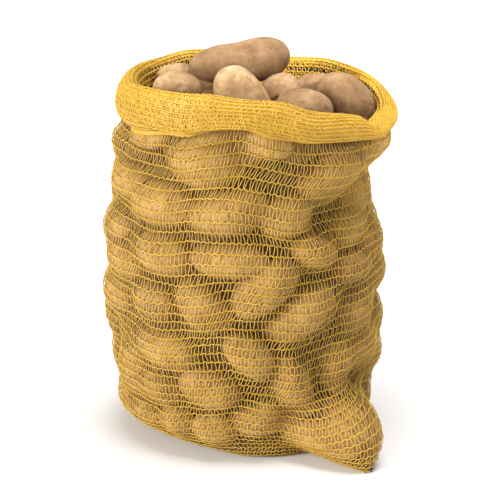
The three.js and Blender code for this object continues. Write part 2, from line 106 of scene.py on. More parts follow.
# The potatoes that press on the front of the net; tilt is how far the long axis rises to the right
FRONT_POTATOES = table(
    "side height half_length half_width tilt",
    (-60, 388, 34, 22, 5),
    (8, 388, 29, 19, -15),
    (-26, 366, 46, 32, -15),
    (80, 366, 38, 27, 0),
    (47, 340, 44, 27, 8),
    (-70, 324, 36, 23, 0),
    (-44, 309, 45, 27, 0),
    (-6, 308, 46, 29, 12),
    (24, 302, 31, 26, 0),
    (60, 276, 31, 22, 30),
    (-78, 264, 36, 25, 5),
    (-42, 252, 38, 26, -5),
    (-7, 254, 45, 23, 0),
    (36, 258, 28, 19, -20),
    (77, 248, 34, 27, 10),
    (-67, 230, 36, 23, -10),
    (58, 229, 29, 20, 0),
    (11, 221, 46, 27, 45),
    (-45, 193, 28, 23, -30),
    (-20, 195, 37, 27, -50),
    (31, 186, 46, 28, 35),
    (62, 172, 36, 26, 80),
    (80, 206, 36, 25, 0),
    (-76, 184, 38, 26, 0),
    (-42, 134, 45, 27, 0),
    (3, 137, 36, 24, -50),
    (67, 122, 32, 25, 10),
    (49, 110, 33, 22, 65),
    (24, 99, 42, 22, -75),
    (-66, 88, 36, 27, 80),
    (-19, 92, 37, 27, -12),
    (-48, 82, 34, 23, 0),
    (10, 54, 37, 25, 10),
    (31, 36, 31, 20, 5),
    (-17, 39, 29, 21, 0),
    (-38, 43, 24, 20, 0),
    (-62, 38, 30, 20, -10),
    (CORNER_SIDE, 40, 40, 34, -70),
)

# Small potatoes that fill out the corner beside its large one
CORNER_FILLERS = table(
    "side height half_length half_width tilt",
    (38, 38, 26, 20, 80),
    (56, 38, 26, 20, -80),
)

# The layers of potatoes round the back, each from its first side onwards
BACK_LAYERS = table(
    "height first count",
    (42, 76, 8),
    (95, 86, 7),
    (146, 92, 7),
    (202, 106, 6),
    (256, 103, 6),
    (308, 82, 7),
    (362, 98, 7),
)
BACK_SPACING = 29
BACK_SIZES = {"half_length": 40, "half_width": 26}
BACK_VARIES = {"side": 4, "height": 7, "half_length": 5, "half_width": 3, "tilt": 40}

# How the net spans the potatoes, and the creases where it is drawn in
LUMP_REACH = 1.15
LUMP_FALL = 12
LUMP_SOFTNESS = 4.5
DEEPEST_VALLEY = 14
CREASES = table(
    "from_side from_height to_side to_height depth half_width",
    (12, 52, 64, 96, 9, 14),
    (33, 290, 74, 314, 5, 15),
    (-66, 364, -24, 336, 5, 15),
    (-72, 302, -44, 284, 3, 15),
)
# Shares of a crease's length over which it sets in and dies away
CREASE_FADE = {"start": (-0.1, 0.15), "end": (0.85, 1.1)}

# The cuff round the mouth: height of its crest, how far it hangs down, its extra fullness outwards
# and how far its roll bulges inwards
CUFF = table(
    "side crest drop fullness roll",
    (-175, 433, 38, 0, 0),
    (-145, 440, 40, 1, 0),
    (-128, 437, 40, 2, 2),
    (-105, 436, 40, 3, 2),
    (-85, 430, 36, 3, 10),
    (-66, 435, 43, 2, 22),
    (-50, 439, 43, 1, 9),
    (-32, 442, 42, 1, 0),
    (-22, 443, 37, 0, 0),
    (-5, 439, 31, 0, 0),
    (12, 436, 36, 0, 0),
    (26, 424, 33, 1, 0),
    (42, 416, 29, 1, 0),
    (53, 409, 25, 2, 2),
    (61, 397, 15, 4, 2),
    (72, 400, 16, 5, 2),
    (90, 406, 19, 5, 0),
    (112, 420, 30, 3, 0),
    (138, 429, 38, 1, 0),
    (160, 428, 38, 1, 0),
)
# How far under the crest the wall goes over into the cuff, in drops
CUFF_START = 1.2

# Run of the net through the roll of the cuff: up inside, over the crest, down and back up
CUFF_RUN = table(
    "out down full inward",
    (-6, 0.85, 0, 0.2),
    (-6, 0.6, 0, 0.6),
    (-6, 0.35, 0, 1),
    (-5, 0.14, 0, 0.8),
    (0, 0, 0, 0.25),
    (5, 0.06, 0.4, 0),
    (8.5, 0.22, 0.7, 0),
    (10.3, 0.45, 1, 0),
    (10.8, 0.7, 1, 0),
    (9.6, 0.9, 1, 0),
    (7, 1, 0.8, 0),
    (4.6, 0.92, 0.7, 0),
    (4.2, 0.7, 0.6, 0),
    (4, 0.45, 0.5, 0),
)

# The drawstring: how far under the crest, and how far out from it
DRAWSTRING = table(
    "side down out",
    (-165, 12, -4.2),
    (-130, 8, -4.2),
    (-104, 11, -3.5),
    (-40, 14, -3),
    (20, 14, -3),
    (52, 10, 2),
    (75, 8, 7.3),
    (98, 10, 4.5),
    (122, 13, -4.2),
    (160, 13, -4.2),
)
# Its width and thickness, its weave in and out, its steps in degrees, and the share of the roll's
# bulge that it follows
CORD_SIZE = (4.4, 2.4)
CORD_WEAVES = 96
CORD_SWAY = {"out": 0.9, "up": 0.8}
CORD_STEP = 0.5
ROLL_HOLD = 0.85

# The loose potatoes in the mouth
TOP_POTATOES = table(
    "x y z half_length half_width turn rise taper waist",
    (-9, 30, 445, 60, 27, 0, 7, 0.18, 0.12),
    (-78, -24, 424, 29, 22, 10, -6, 0.05, 0),
    (-3, -50, 422, 38, 27, -8, -50, -0.08, 0),
    (40, -12, 418, 26, 24, 40, 10, 0, 0),
    (68, -61, 411, 33, 25, 8, -14, 0.06, 0),
    (82, 32, 408, 30, 23, -12, 6, 0, 0),
    (115, -18, 411, 36, 28, 4, -38, 0.05, 0),
    (-84, 51, 420, 24, 19, -10, 10, 0, 0),
)

# Shape of a potato: its thickness to its width, how blunt its ends are (2 is an egg's outline),
# the length of its waist, the size and pace of its swells, and its eyes
POTATO_THICKNESS = 0.94
FULLNESS = 2.5
WALL_FULLNESS = 2.25
WAIST_LENGTH = 0.35
SWELLS = ((0.03, 1.6), (0.025, 2.2), (0.015, 3.0), (0.008, 5.0))
EYES = 9
EYE_PIT = {"depth": 1.3, "radius": 3.0}
EYE_RIDGE = {"height": 0.45, "radius": 5.5, "width": 2.2}
POTATO_SEEDS = {"front": 10, "corner": 60, "back": 200, "under": 5, "loose": 400}
TONE_SEEDS = {"front": 1, "back": 2, "under": 3}
# How often the ball that each is made from is subdivided
BALL_LEVELS = {"front": 4, "back": 3, "under": 3, "loose": 5}

# The knitted net: each stitch of a chain holds two strands of the zigzag that joins it to the next
STITCHES = 124
STITCH_STEPS = 6
WALL_ROWS = 39
WALL_BANDS = {"net_wall_low": (0, 13), "net_wall_middle": (13, 26), "net_wall_high": (26, WALL_ROWS)}
# Rows over the cuff's whole run; the lining is knitted up to its last one, the cuff from its first
LINING_ROWS = 16
LINING_LAST = 6
CUFF_ROWS = 24
CUFF_FIRST = 9
BASE_ROWS = 6
NET_SEEDS = {"base": 11, "wall": 21, "cuff": 31, "ends": 8}

# Yarn of the wall, the lining and the cuff: width and height of chains and strands, height of the
# chains' waves, slant and looseness of the strands to their spacing, and how far the chains lie
# along the normal, which points out of the wall and into the roll of the cuff
WALL_YARN = {
    "chain": (1.6, 1.2),
    "strand": (1.05, 0.65),
    "scallop": 0.8,
    "zigzag": 0.35,
    "loose": 0.1,
    "proud": 0.4,
}
LINING_YARN = {
    "chain": (2.2, 1.5),
    "strand": (1.6, 0.9),
    "scallop": 0.8,
    "zigzag": 0.4,
    "loose": 0.2,
    "proud": -0.4,
}
CUFF_YARN = {
    "chain": (2.5, 1.7),
    "strand": (2.2, 0.9),
    "scallop": 0.5,
    "zigzag": 0.35,
    "loose": 0.2,
    "proud": -0.35,
}
STRAND_BOW = 0.5

# How the rows run: their drift up and down, in full and at the edges of a stretch, how much closer
# they lie at the bottom, the columns over which they are evened out, and how they shift sideways
ROW_DRIFT = 1.6
EDGE_DRIFT = 0.15
ROW_TIGHTNESS = 0.75
ROW_STRAIGHTNESS = 36
LEAN = 0.5
SHEAR = 0.9

# How high the net lies over the floor, and how far the potatoes stay behind it
NET_LIFT = 2
NET_CLEARANCE = 2

# The seam of the base: its length to the base's, and where the net starts beside it
SEAM_LENGTH = 0.85
SEAM_START = 0.02

# The loose ends of yarn at the tip of the bottom corner
ENDS = {"count": 10, "length": (3, 7), "yarn": (2.2, 1.6), "steps": 5}
ENDS_INWARD = 4
ENDS_HEIGHT = 3
ENDS_SPREAD = (0.55, 0.55, 0.165)
ENDS_SAG = 1.5
ENDS_UP = (0.2, -0.2, 1.0)

# The matted layers of the cuff: the rows of its run that the main one follows, their ribs, their
# colour between that of chains and strands, and how far up the run the one behind the lining goes
CORE_RUN = slice(3, 12)
CORE_STEPS = 24
LINING_STEPS = 8
CORE_RIB = {"depth": 0.3, "turn": 0.7, "ripple": 0.08}
CORE_THICKNESS = 1.5
CORE_BEHIND = 0.15
CORE_COLOUR = 0.5
LINING_BACKED = 0.2

# Where the rows of the net are pulled up or down, and how far this spreads
ROW_PULLS = table(
    "side height side_spread height_spread lift",
    (66, 78, 30, 50, 30),
    (18, 60, 22, 50, -12),
    (85, 190, 40, 90, 26),
    (-85, 250, 35, 150, 8),
)
PULL_START = 0.04


def read_table(rows, key, at, period=0):
    """The smooth value of each column of a table at the places given."""
    place = rows[key]
    columns = rows
    if period:
        at = (at - place[0]) % period + place[0]
        place = np.concatenate([place - period, place, place + period])
        columns = {name: np.tile(column, 3) for name, column in rows.items()}
    low = np.clip(np.searchsorted(place, at, side="right") - 1, 0, len(place) - 2)
    high = low + 1
    before = np.maximum(low - 1, 0)
    after = np.minimum(low + 2, len(place) - 1)
    span = place[high] - place[low]
    t = np.clip((at - place[low]) / span, 0, 1)
    values = {}
    for name, column in columns.items():
        rise = column[high] - column[low]
        start = (column[high] - column[before]) / (place[high] - place[before]) * span
        end = (column[after] - column[low]) / (place[after] - place[low]) * span
        curve = 3 * rise - 2 * start - end + t * (start + end - 2 * rise)
        values[name] = column[low] + t * (start + t * curve)
    return values


def around(rows, side):
    return read_table(rows, "side", side, 360)


def side_between(start, end):
    """Degrees from one side to another, the short way round."""
    return (end - start + 180) % 360 - 180


def smoothstep(x, low, high):
    t = np.clip((x - low) / (high - low), 0, 1)
    return t * t * (3 - 2 * t)


def unit(vectors):
    return vectors / np.maximum(np.linalg.norm(vectors, axis=-1, keepdims=True), 1e-9)


def steady_random(n):
    """A number from 0 to 1 that is always the same for the same whole number."""
    spread = np.sin(n * 12.9898 + 4.1414) * 43758.5453
    return spread - np.floor(spread)


# Waves of an uneven field: how often each goes round the sack, and its length upwards
RIPPLES = ((2, 310), (3, 190), (5, 130), (9, 80))


def ripple(side, height, seed):
    """A smooth uneven field over the sack, of about unit size."""
    random = np.random.default_rng(seed)
    total = 0
    for turns, length in RIPPLES:
        phase = random.uniform(0, 2 * np.pi)
        way = random.choice([-1, 1])
        total = total + np.sin(turns * np.radians(side) + way * 2 * np.pi * height / length + phase)
    return total / 2


def back_potatoes():
    """The potatoes of the back layers, in the columns of the front ones."""
    rows = []
    for row, (height, first, count) in enumerate(rows_of(BACK_LAYERS)):
        for place in range(int(count)):
            seed = 100 * row + 7 * place
            side, rise, length, width, tilt = (2 * steady_random(seed + n) - 1 for n in range(1, 6))
            rows.append((
                first + BACK_SPACING * place + BACK_VARIES["side"] * side,
                height + BACK_VARIES["height"] * rise,
                BACK_SIZES["half_length"] + BACK_VARIES["half_length"] * length,
                BACK_SIZES["half_width"] + BACK_VARIES["half_width"] * width,
                BACK_VARIES["tilt"] * tilt,
            ))
    return table("side height half_length half_width tilt", *rows)


BACK_POTATOES = back_potatoes()
WALL_POTATOES = {
    name: np.concatenate([column, BACK_POTATOES[name]]) for name, column in FRONT_POTATOES.items()
}


def lump_depth(side, height):
    """How far the net lies inside the outline: sunk between the potatoes, level on their tops."""
    total = np.zeros(np.broadcast(side, height).shape)
    for p_side, p_height, length, width, tilt in rows_of(WALL_POTATOES):
        x = np.radians(side_between(p_side, side)) * WALL_RADIUS
        z = height - p_height
        cos, sin = np.cos(np.radians(tilt)), np.sin(np.radians(tilt))
        along = (x * cos + z * sin) / (length * LUMP_REACH)
        across = (z * cos - x * sin) / (width * LUMP_REACH)
        total += np.exp(-LUMP_FALL * (along**2 + across**2) / LUMP_SOFTNESS)
    return np.minimum(-LUMP_SOFTNESS * np.log(total + 1e-12), DEEPEST_VALLEY)


def crease_depth(side, height):
    """How far the creases draw the net in at a place."""
    depth = 0
    for from_side, from_height, to_side, to_height, deep, half_width in rows_of(CREASES):
        run_x = np.radians(side_between(from_side, to_side)) * WALL_RADIUS
        run_z = to_height - from_height
        x = np.radians(side_between(from_side, side)) * WALL_RADIUS
        z = height - from_height
        share = (x * run_x + z * run_z) / (run_x**2 + run_z**2)
        away = np.hypot(x - share * run_x, z - share * run_z) / half_width
        fade = smoothstep(share, *CREASE_FADE["start"]) * (1 - smoothstep(share, *CREASE_FADE["end"]))
        depth = depth + deep * fade * np.exp(-(away**2))
    return depth


def oval_reach(side, half_width, half_depth):
    angle = np.radians(side)
    return 1 / np.hypot(np.sin(angle) / half_width, np.cos(angle) / half_depth)


def point_on(side, reach, height, lean_x=0.0):
    angle = np.radians(side)
    x = lean_x + reach * np.sin(angle)
    y = -reach * np.cos(angle)
    return np.stack(np.broadcast_arrays(x, y, height), axis=-1)


def corner_reach(side, height):
    corner = read_table(CORNER, "height", height)
    away = np.abs(side_between(corner["side"], side)) / corner["spread"]
    return np.maximum(corner["reach"], 0) * np.exp(-(away**CORNER_ROUNDNESS))


def outline_reach(side, height):
    """Reach, lean and roundness of the wall over its potatoes, before it sinks between them."""
    level = read_table(PROFILE, "height", np.maximum(height, BASE_ROUNDING))
    wall = oval_reach(side, level["half_width"], level["half_depth"])
    base = around(BASE_OUTLINE, side)["reach"]
    rise = np.clip(height / BASE_ROUNDING, 0, 1)
    share = np.sqrt(1 - (1 - rise) ** 2)
    return base + (wall - base) * share + corner_reach(side, height), level["lean_x"] * rise, share


def wall_reach(side, height):
    reach, lean_x, share = outline_reach(side, height)
    return reach - (lump_depth(side, height) + crease_depth(side, height)) * share, lean_x


def base_reach(side):
    return around(BASE_OUTLINE, side)["reach"] + corner_reach(side, np.zeros_like(side))


def crest_of(side):
    """The cuff's row at a side, with the reach and lean of its crest."""
    cuff = around(CUFF, side)
    level = read_table(PROFILE, "height", cuff["crest"])
    cuff["reach"] = oval_reach(side, level["half_width"], level["half_depth"])
    cuff["lean_x"] = level["lean_x"]
    return cuff


def wall_top(side):
    cuff = around(CUFF, side)
    return cuff["crest"] - CUFF_START * cuff["drop"]


# Meshes and materials

def make_piece(name, points, faces, material, attributes=None):
    """A smooth mesh object from points in millimetres."""
    mesh = bpy.data.meshes.new(name)
    mesh.from_pydata(np.asarray(points).reshape(-1, 3) * MM, [], faces)
    mesh.polygons.foreach_set("use_smooth", np.ones(len(mesh.polygons), bool))
    for key, values in (attributes or {}).items():
        mesh.attributes.new(key, "FLOAT", "POINT").data.foreach_set("value", values.astype(np.float32))
    mesh.materials.append(material)
    piece = bpy.data.objects.new(name, mesh)
    bpy.context.scene.collection.objects.link(piece)
    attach(piece, "root")
    return piece


class Nodes:
    """A material's node tree, with short calls to add and link its nodes."""

    def __init__(self, name):
        self.material = bpy.data.materials.new(name)
        self.material.use_nodes = True
        self.tree = self.material.node_tree
        self.shader = self.tree.nodes["Principled BSDF"]
        self.place = self.add("ShaderNodeTexCoord").outputs["Object"]

    def add(self, kind, **settings):
        node = self.tree.nodes.new(kind)
        for key, value in settings.items():
            setattr(node, key, value)
        return node

    def link(self, source, target):
        self.tree.links.new(source, target)

    def noise(self, scale, detail=3.0, roughness=0.55):
        node = self.add("ShaderNodeTexNoise")
        node.inputs["Scale"].default_value = scale
        node.inputs["Detail"].default_value = detail
        node.inputs["Roughness"].default_value = roughness
        self.link(self.place, node.inputs["Vector"])
        return node.outputs["Fac"]

    def ramp(self, factor, *stops):
        node = self.add("ShaderNodeValToRGB")
        elements = node.color_ramp.elements
        while len(elements) < len(stops):
            elements.new(0.5)
        for element, (position, colour) in zip(elements, stops):
            element.position = position
            element.color = (*colour, 1)
        self.link(factor, node.inputs["Fac"])
        return node.outputs["Color"]

    def mix(self, factor, first, second, blend="MIX"):
        node = self.add("ShaderNodeMix", data_type="RGBA", blend_type=blend)
        for value, socket in ((factor, 0), (first, 6), (second, 7)):
            if isinstance(value, (int, float)):
                node.inputs[socket].default_value = value
            elif isinstance(value, tuple):
                node.inputs[socket].default_value = (*value, 1)
            else:
                self.link(value, node.inputs[socket])
        return node.outputs[2]

    def attribute(self, name):
        return self.add("ShaderNodeAttribute", attribute_name=name).outputs["Fac"]

    def set(self, **values):
        for key, value in values.items():
            self.shader.inputs[key.replace("_", " ")].default_value = value

    def bump(self, height, strength, distance):
        node = self.add("ShaderNodeBump")
        node.inputs["Strength"].default_value = strength
        node.inputs["Distance"].default_value = distance
        self.link(height, node.inputs["Height"])
        self.link(node.outputs["Normal"], self.shader.inputs["Normal"])


def potato_material(name, tint):
    nodes = Nodes(name)
    skin = nodes.ramp(
        nodes.noise(38, 4, 0.6),
        (0.32, (0.3, 0.17, 0.077)),
        (0.5, (0.46, 0.29, 0.14)),
        (0.68, (0.63, 0.435, 0.248)),
    )
    # The tone attribute darkens the skin: each potato's own tone, with painted light and shade on some
    # pieces
    tone = nodes.ramp(
        nodes.attribute("tone"), (0, (0.2, 0.17, 0.15)), (0.4, (0.64, 0.59, 0.55)), (1, (1, 1, 1))
    )
    toned = nodes.mix(1.0, nodes.mix(1.0, skin, tint, "MULTIPLY"), tone, "MULTIPLY")
    patch = nodes.ramp(nodes.noise(90, 6, 0.75), (0.49, (0, 0, 0)), (0.68, (0.8, 0.8, 0.8)))
    patched = nodes.mix(patch, toned, (0.25, 0.14, 0.065))
    dust = nodes.ramp(nodes.noise(260, 4, 0.7), (0.56, (0, 0, 0)), (0.74, (0.36, 0.36, 0.36)))
    dusty = nodes.mix(dust, patched, (0.58, 0.42, 0.25))
    spots = nodes.add("ShaderNodeTexVoronoi")
    spots.inputs["Scale"].default_value = 95
    nodes.link(nodes.place, spots.inputs["Vector"])
    spot = nodes.ramp(spots.outputs["Distance"], (0.05, (0.7, 0.7, 0.7)), (0.13, (0, 0, 0)))
    spotted = nodes.mix(spot, dusty, (0.13, 0.07, 0.03))
    nodes.link(spotted, nodes.shader.inputs["Base Color"])
    nodes.set(Roughness=0.82, Specular_IOR_Level=0.25)
    nodes.bump(nodes.noise(300, 6, 0.7), 0.5, 0.001)
    return nodes.material


def net_material(name, dark_chain, light_chain, dark_strand, light_strand):
    nodes = Nodes(name)
    chain = nodes.ramp(nodes.noise(70), (0.3, dark_chain), (0.7, light_chain))
    strand = nodes.ramp(nodes.noise(90), (0.3, dark_strand), (0.7, light_strand))
    colour = nodes.mix(nodes.attribute("strand"), chain, strand)
    nodes.link(colour, nodes.shader.inputs["Base Color"])
    nodes.set(Roughness=0.5, Specular_IOR_Level=0.4)
    nodes.bump(nodes.noise(1800, 2), 0.25, 0.0003)
    return nodes.material


def cord_material():
    nodes = Nodes("drawstring_cord")
    colour = nodes.ramp(nodes.noise(600), (0.35, (0.004, 0.005, 0.03)), (0.65, (0.018, 0.022, 0.11)))
    nodes.link(colour, nodes.shader.inputs["Base Color"])
    nodes.set(Roughness=0.6)
    nodes.bump(nodes.noise(1500, 2), 0.3, 0.0003)
    return nodes.material


POTATO_SKIN = potato_material("potato_skin", (1.12, 1.12, 1.12))
# Skin inside the net, tinted yellower: painted light, for light that comes through the yellow yarn,
# blended with the yarn's own colour
NETTED_SKIN = potato_material("potato_skin_netted", (1.2, 1.13, 0.76))

# How light the potatoes are, from 0 for the darkest to 1 for the skin's full colour: those at the net,
# at random, with painted light high up; the loose ones, with painted light on their sides towards the
# key light; those under them, dark with painted shade; and the heap inside, in painted shade, with its
# flanks darker in the valleys of the net than on its tops
LIGHT_TONES = (0.58, 0.86)
UPPER_PAINTED_LIGHT = {"heights": (260, 360), "more": 0.2}
TOP_TONES = (0.235, 0.52, 0.8, 0.37, 0.2, 0.34, 0.19, 0.46)
TOP_PAINTED_LIGHT = {"way": (-0.45, -0.2, 0.85), "more": 0.75}
UNDER_PAINTED_SHADE_TONES = (0.05, 0.3)
HEAP_PAINTED_SHADE = 0.0
FLANK_PAINTED_TONES = (0.2, 0.8)
# Painted shade on those at the net: how much they darken, and over which depths inside its outline
FALL_PAINTED_SHADE = 0.65
FALL_DEPTHS = (5, 22)

NET_YARN = net_material(
    "net_yarn",
    (0.56, 0.32, 0.03),
    (0.70, 0.43, 0.06),
    (0.58, 0.36, 0.055),
    (0.72, 0.47, 0.09),
)
CUFF_NET = net_material(
    "net_yarn_layered",
    (0.55, 0.3, 0.023),
    (0.68, 0.405, 0.042),
    (0.58, 0.34, 0.038),
    (0.71, 0.445, 0.061),
)
CORD = cord_material()


# Potatoes

def icosphere(level):
    """Points on a unit ball and its triangles."""
    shape = bmesh.new()
    bmesh.ops.create_icosphere(shape, subdivisions=level, radius=1)
    points = np.array([vertex.co for vertex in shape.verts])
    faces = np.array([[vertex.index for vertex in face.verts] for face in shape.faces])
    shape.free()
    return points, faces


def potato_points(ball, seed, half_length, half_width, fullness, taper=0.0, waist=0.0, eyes=0):
    """An uneven potato with its long axis along X, from points on a unit ball."""
    random = np.random.default_rng(seed)
    along = ball[:, 0]
    fuller = np.sqrt((1 - np.abs(along) ** fullness) / np.maximum(1 - along**2, 1e-6))
    fuller = np.where(np.abs(along) > 0.999, np.sqrt(fullness / 2), fuller)
    girth = fuller * (1 + taper * along) * (1 - waist * np.exp(-((along / WAIST_LENGTH) ** 2)))
    swell = np.zeros(len(ball))
    for size, pace in SWELLS:
        way = random.normal(size=3)
        swell += size * np.sin(ball @ way / np.linalg.norm(way) * pace + random.uniform(0, 2 * np.pi))
    half = np.array([half_length, half_width, half_width * POTATO_THICKNESS])
    points = ball * half * (1 + swell)[:, None]
    points[:, 1:] *= girth[:, None]
    for _ in range(eyes):
        middle = random.normal(size=3)
        middle = middle / np.linalg.norm(middle) * half
        away = np.linalg.norm(ball * half - middle, axis=1)
        pit = EYE_PIT["depth"] * np.exp(-((away / EYE_PIT["radius"]) ** 2))
        from_ridge = (away - EYE_RIDGE["radius"]) / EYE_RIDGE["width"]
        ridge = EYE_RIDGE["height"] * np.exp(-(from_ridge**2))
        points -= ball * (pit - ridge)[:, None]
    return points


def place_of(points):
    """Side, reach, height and lean of points, with the height kept above the base."""
    height = np.maximum(points[:, 2], NET_LIFT + NET_CLEARANCE)
    lean_x = outline_reach(np.zeros(len(points)), height)[1]
    x, y = points[:, 0] - lean_x, points[:, 1]
    return np.degrees(np.arctan2(x, -y)), np.hypot(x, y), height, lean_x


def behind_net(points):
    """Points drawn back until they lie under the net."""
    side, reach, height, lean_x = place_of(points)
    limit = wall_reach(side, height)[0] - NET_CLEARANCE
    return point_on(side, np.minimum(reach, limit), height, lean_x)


def painted_light_at(points):
    """Painted light and shade on potatoes at points: lighter high up, darker where they fall away from
    the net.
    """
    side, reach, height, _ = place_of(points)
    fall = outline_reach(side, height)[0] - reach
    upper = 1 + UPPER_PAINTED_LIGHT["more"] * smoothstep(height, *UPPER_PAINTED_LIGHT["heights"])
    return upper * (1 - FALL_PAINTED_SHADE * smoothstep(fall, *FALL_DEPTHS))


def wall_potato(ball, seed, side, height, half_length, half_width, tilt):
    """A potato that lies against the net at a place, and is bent to its round."""
    along, across, out = potato_points(ball, seed, half_length, half_width, WALL_FULLNESS).T
    cos, sin = np.cos(np.radians(tilt)), np.sin(np.radians(tilt))
    sunk = half_width * POTATO_THICKNESS + NET_CLEARANCE
    radius = outline_reach(np.array(side), np.array(height))[0] - sunk
    sides = side + np.degrees(along * cos - across * sin) / radius
    heights = np.maximum(height + along * sin + across * cos, NET_LIFT + NET_CLEARANCE)
    reach, lean_x, _ = outline_reach(sides, heights)
    return behind_net(point_on(sides, reach - sunk + out, heights, lean_x))


def painted_top_light_at(points):
    """Painted light on a loose potato at its points: lighter on the sides facing up and to the upper
    left front.
    """
    return 1 + TOP_PAINTED_LIGHT["more"] * unit(points - points.mean(axis=0)) @ unit(np.array(TOP_PAINTED_LIGHT["way"]))


def joined_potatoes(name, shapes, faces, seed, tones, skin, light=None):
    """Many potatoes as one mesh, each with a tone of its own."""
    count = len(shapes[0])
    points = np.concatenate(shapes)
    tone = np.repeat(np.random.default_rng(seed).uniform(*tones, len(shapes)), count)
    if light:
        tone = tone * light(points)
    all_faces = np.concatenate([faces + count * i for i in range(len(shapes))])
    piece = make_piece(name, points, all_faces, skin, {"tone": tone})
    return piece


def shapes_of(group, columns, ball):
    """The shapes of a table's potatoes at the wall."""
    first = POTATO_SEEDS[group]
    return [wall_potato(ball, first + i, *row) for i, row in enumerate(rows_of(columns))]


def wall_potatoes():
    """The potatoes that press on the net, as one mesh in front and one round the back."""
    ball, faces = icosphere(BALL_LEVELS["front"])
    shapes = shapes_of("front", FRONT_POTATOES, ball) + shapes_of("corner", CORNER_FILLERS, ball)
    seed = TONE_SEEDS["front"]
    front = joined_potatoes("potatoes_front", shapes, faces, seed, LIGHT_TONES, NETTED_SKIN, painted_light_at)
    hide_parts("potato_heap")
    ball, faces = icosphere(BALL_LEVELS["back"])
    shapes = shapes_of("back", BACK_POTATOES, ball)
    seed = TONE_SEEDS["back"]
    joined_potatoes("potatoes_back", shapes, faces, seed, LIGHT_TONES, NETTED_SKIN, painted_light_at)


# The inside of the heap: how far it lies behind the net, and how much more so in the valleys
HEAP_BEHIND = 8
HEAP_FALL = 0.7
# Where it lies closer: at the flanks, in the bottom corner, and along the foot at the front
HEAP_CLOSER = table(
    "side height side_spread height_spread closer",
    (90, 220, 32, 400, 7),
    (-90, 220, 32, 400, 7),
    (58, 36, 18, 50, 6),
    (0, 0, 70, 16, 6),
)
# Heights of its base and top, and steps of its mesh: degrees round it, and rings up and across it
HEAP_BASE = 4
HEAP_LEVEL = 394
HEAP_STEPS = {"round": 3, "up": 90, "top": 8}
# Shares of their edge's reach between which the rings of its top and base lie
HEAP_INWARD = (1.02, 0.05)
# The potatoes under the loose ones in the mouth, and how far below the cuff those at the rim lie
UNDER_RIM = 6
UNDER_RINGS = table("reach count height", (104, 11, 384), (58, 5, 383), (8, 1, 386), (84, 7, 382))
UNDER_SIZES = {"half_length": (34, 42), "half_width": (24, 28)}
UNDER_VARIES = {"rise": 0.4, "height": 4}
UNDER_LEAN = 8


def turned(points, turn, rise):
    """Points turned about the level axis across them, then about the upright."""
    cos, sin = np.cos(rise), np.sin(rise)
    lift = np.array([[cos, 0, sin], [0, 1, 0], [-sin, 0, cos]])
    cos, sin = np.cos(turn), np.sin(turn)
    spin = np.array([[cos, sin, 0], [-sin, cos, 0], [0, 0, 1]])
    return points @ lift @ spin


def inner_heap():
    """The heap behind the potatoes at the wall, in painted shade: dark between them, lighter close to
    the net.
    """
    side = np.arange(0, 360, HEAP_STEPS["round"])[:, None].astype(float)
    share = np.linspace(0, 1, HEAP_STEPS["up"])
    heights = HEAP_BASE + share * (wall_top(side) - HEAP_BASE)
    reach, lean_x = wall_reach(side, heights)
    behind = HEAP_BEHIND
    for c_side, c_height, side_spread, height_spread, closer in rows_of(HEAP_CLOSER):
        away = side_between(c_side, side) / side_spread
        behind = behind - closer * np.exp(-(away**2) - ((heights - c_height) / height_spread) ** 2)
    valley = lump_depth(side, heights)
    sunk = behind + HEAP_FALL * valley * behind / HEAP_BEHIND
    walls = point_on(side, reach - sunk, heights, lean_x)
    inward = np.linspace(*HEAP_INWARD, HEAP_STEPS["top"])[:, None]
    top = walls[:, -1:] * inward
    top[..., 2] = HEAP_LEVEL
    base = walls[:, :1] * inward[::-1]
    base[..., 2] = HEAP_BASE
    points = np.concatenate([base, walls, top], axis=1)
    columns, rings = points.shape[:2]
    index = np.arange(columns * rings).reshape(columns, rings)
    start, end = index[:, :-1], index[:, 1:]
    ahead, beyond = np.roll(start, -1, axis=0), np.roll(end, -1, axis=0)
    sheets = np.stack([start, ahead, beyond, end], axis=-1).reshape(-1, 4).tolist()
    caps = [index[::-1, 0].tolist(), index[:, -1].tolist()]
    # Painted shade: dark all over, lighter where the heap comes close to the net, more on lumps than in
    # valleys
    tone = np.full(points.shape[:2], HEAP_PAINTED_SHADE)
    flank = np.interp(valley, (0, DEEPEST_VALLEY / 2), FLANK_PAINTED_TONES[::-1])
    tone[:, len(inward):-len(inward)] += flank * (1 - behind / HEAP_BEHIND)
    piece = make_piece("potatoes_inside", points, sheets + caps, NETTED_SKIN, {"tone": tone.ravel()})


def under_potatoes():
    """The potatoes that the loose ones lie on, dark with painted shade."""
    ball, faces = icosphere(BALL_LEVELS["under"])
    random = np.random.default_rng(POTATO_SEEDS["under"])
    shapes = []
    for reach, count, height in rows_of(UNDER_RINGS):
        for side in random.uniform(0, 360) + np.arange(count) * 360 / count:
            sizes = [random.uniform(*limits) for limits in UNDER_SIZES.values()]
            shape = potato_points(ball, int(random.integers(1e6)), *sizes, WALL_FULLNESS)
            turn = random.uniform(0, np.pi)
            rise = UNDER_VARIES["rise"] * random.uniform(-1, 1)
            drift = UNDER_VARIES["height"] * random.uniform(-1, 1)
            level = min(height, wall_top(side) - UNDER_RIM) + drift
            place = point_on(side, reach, level, UNDER_LEAN)
            shapes.append(behind_net(turned(shape, turn, rise) + place))
    joined_potatoes("potatoes_under", shapes, faces, TONE_SEEDS["under"], UNDER_PAINTED_SHADE_TONES, NETTED_SKIN)


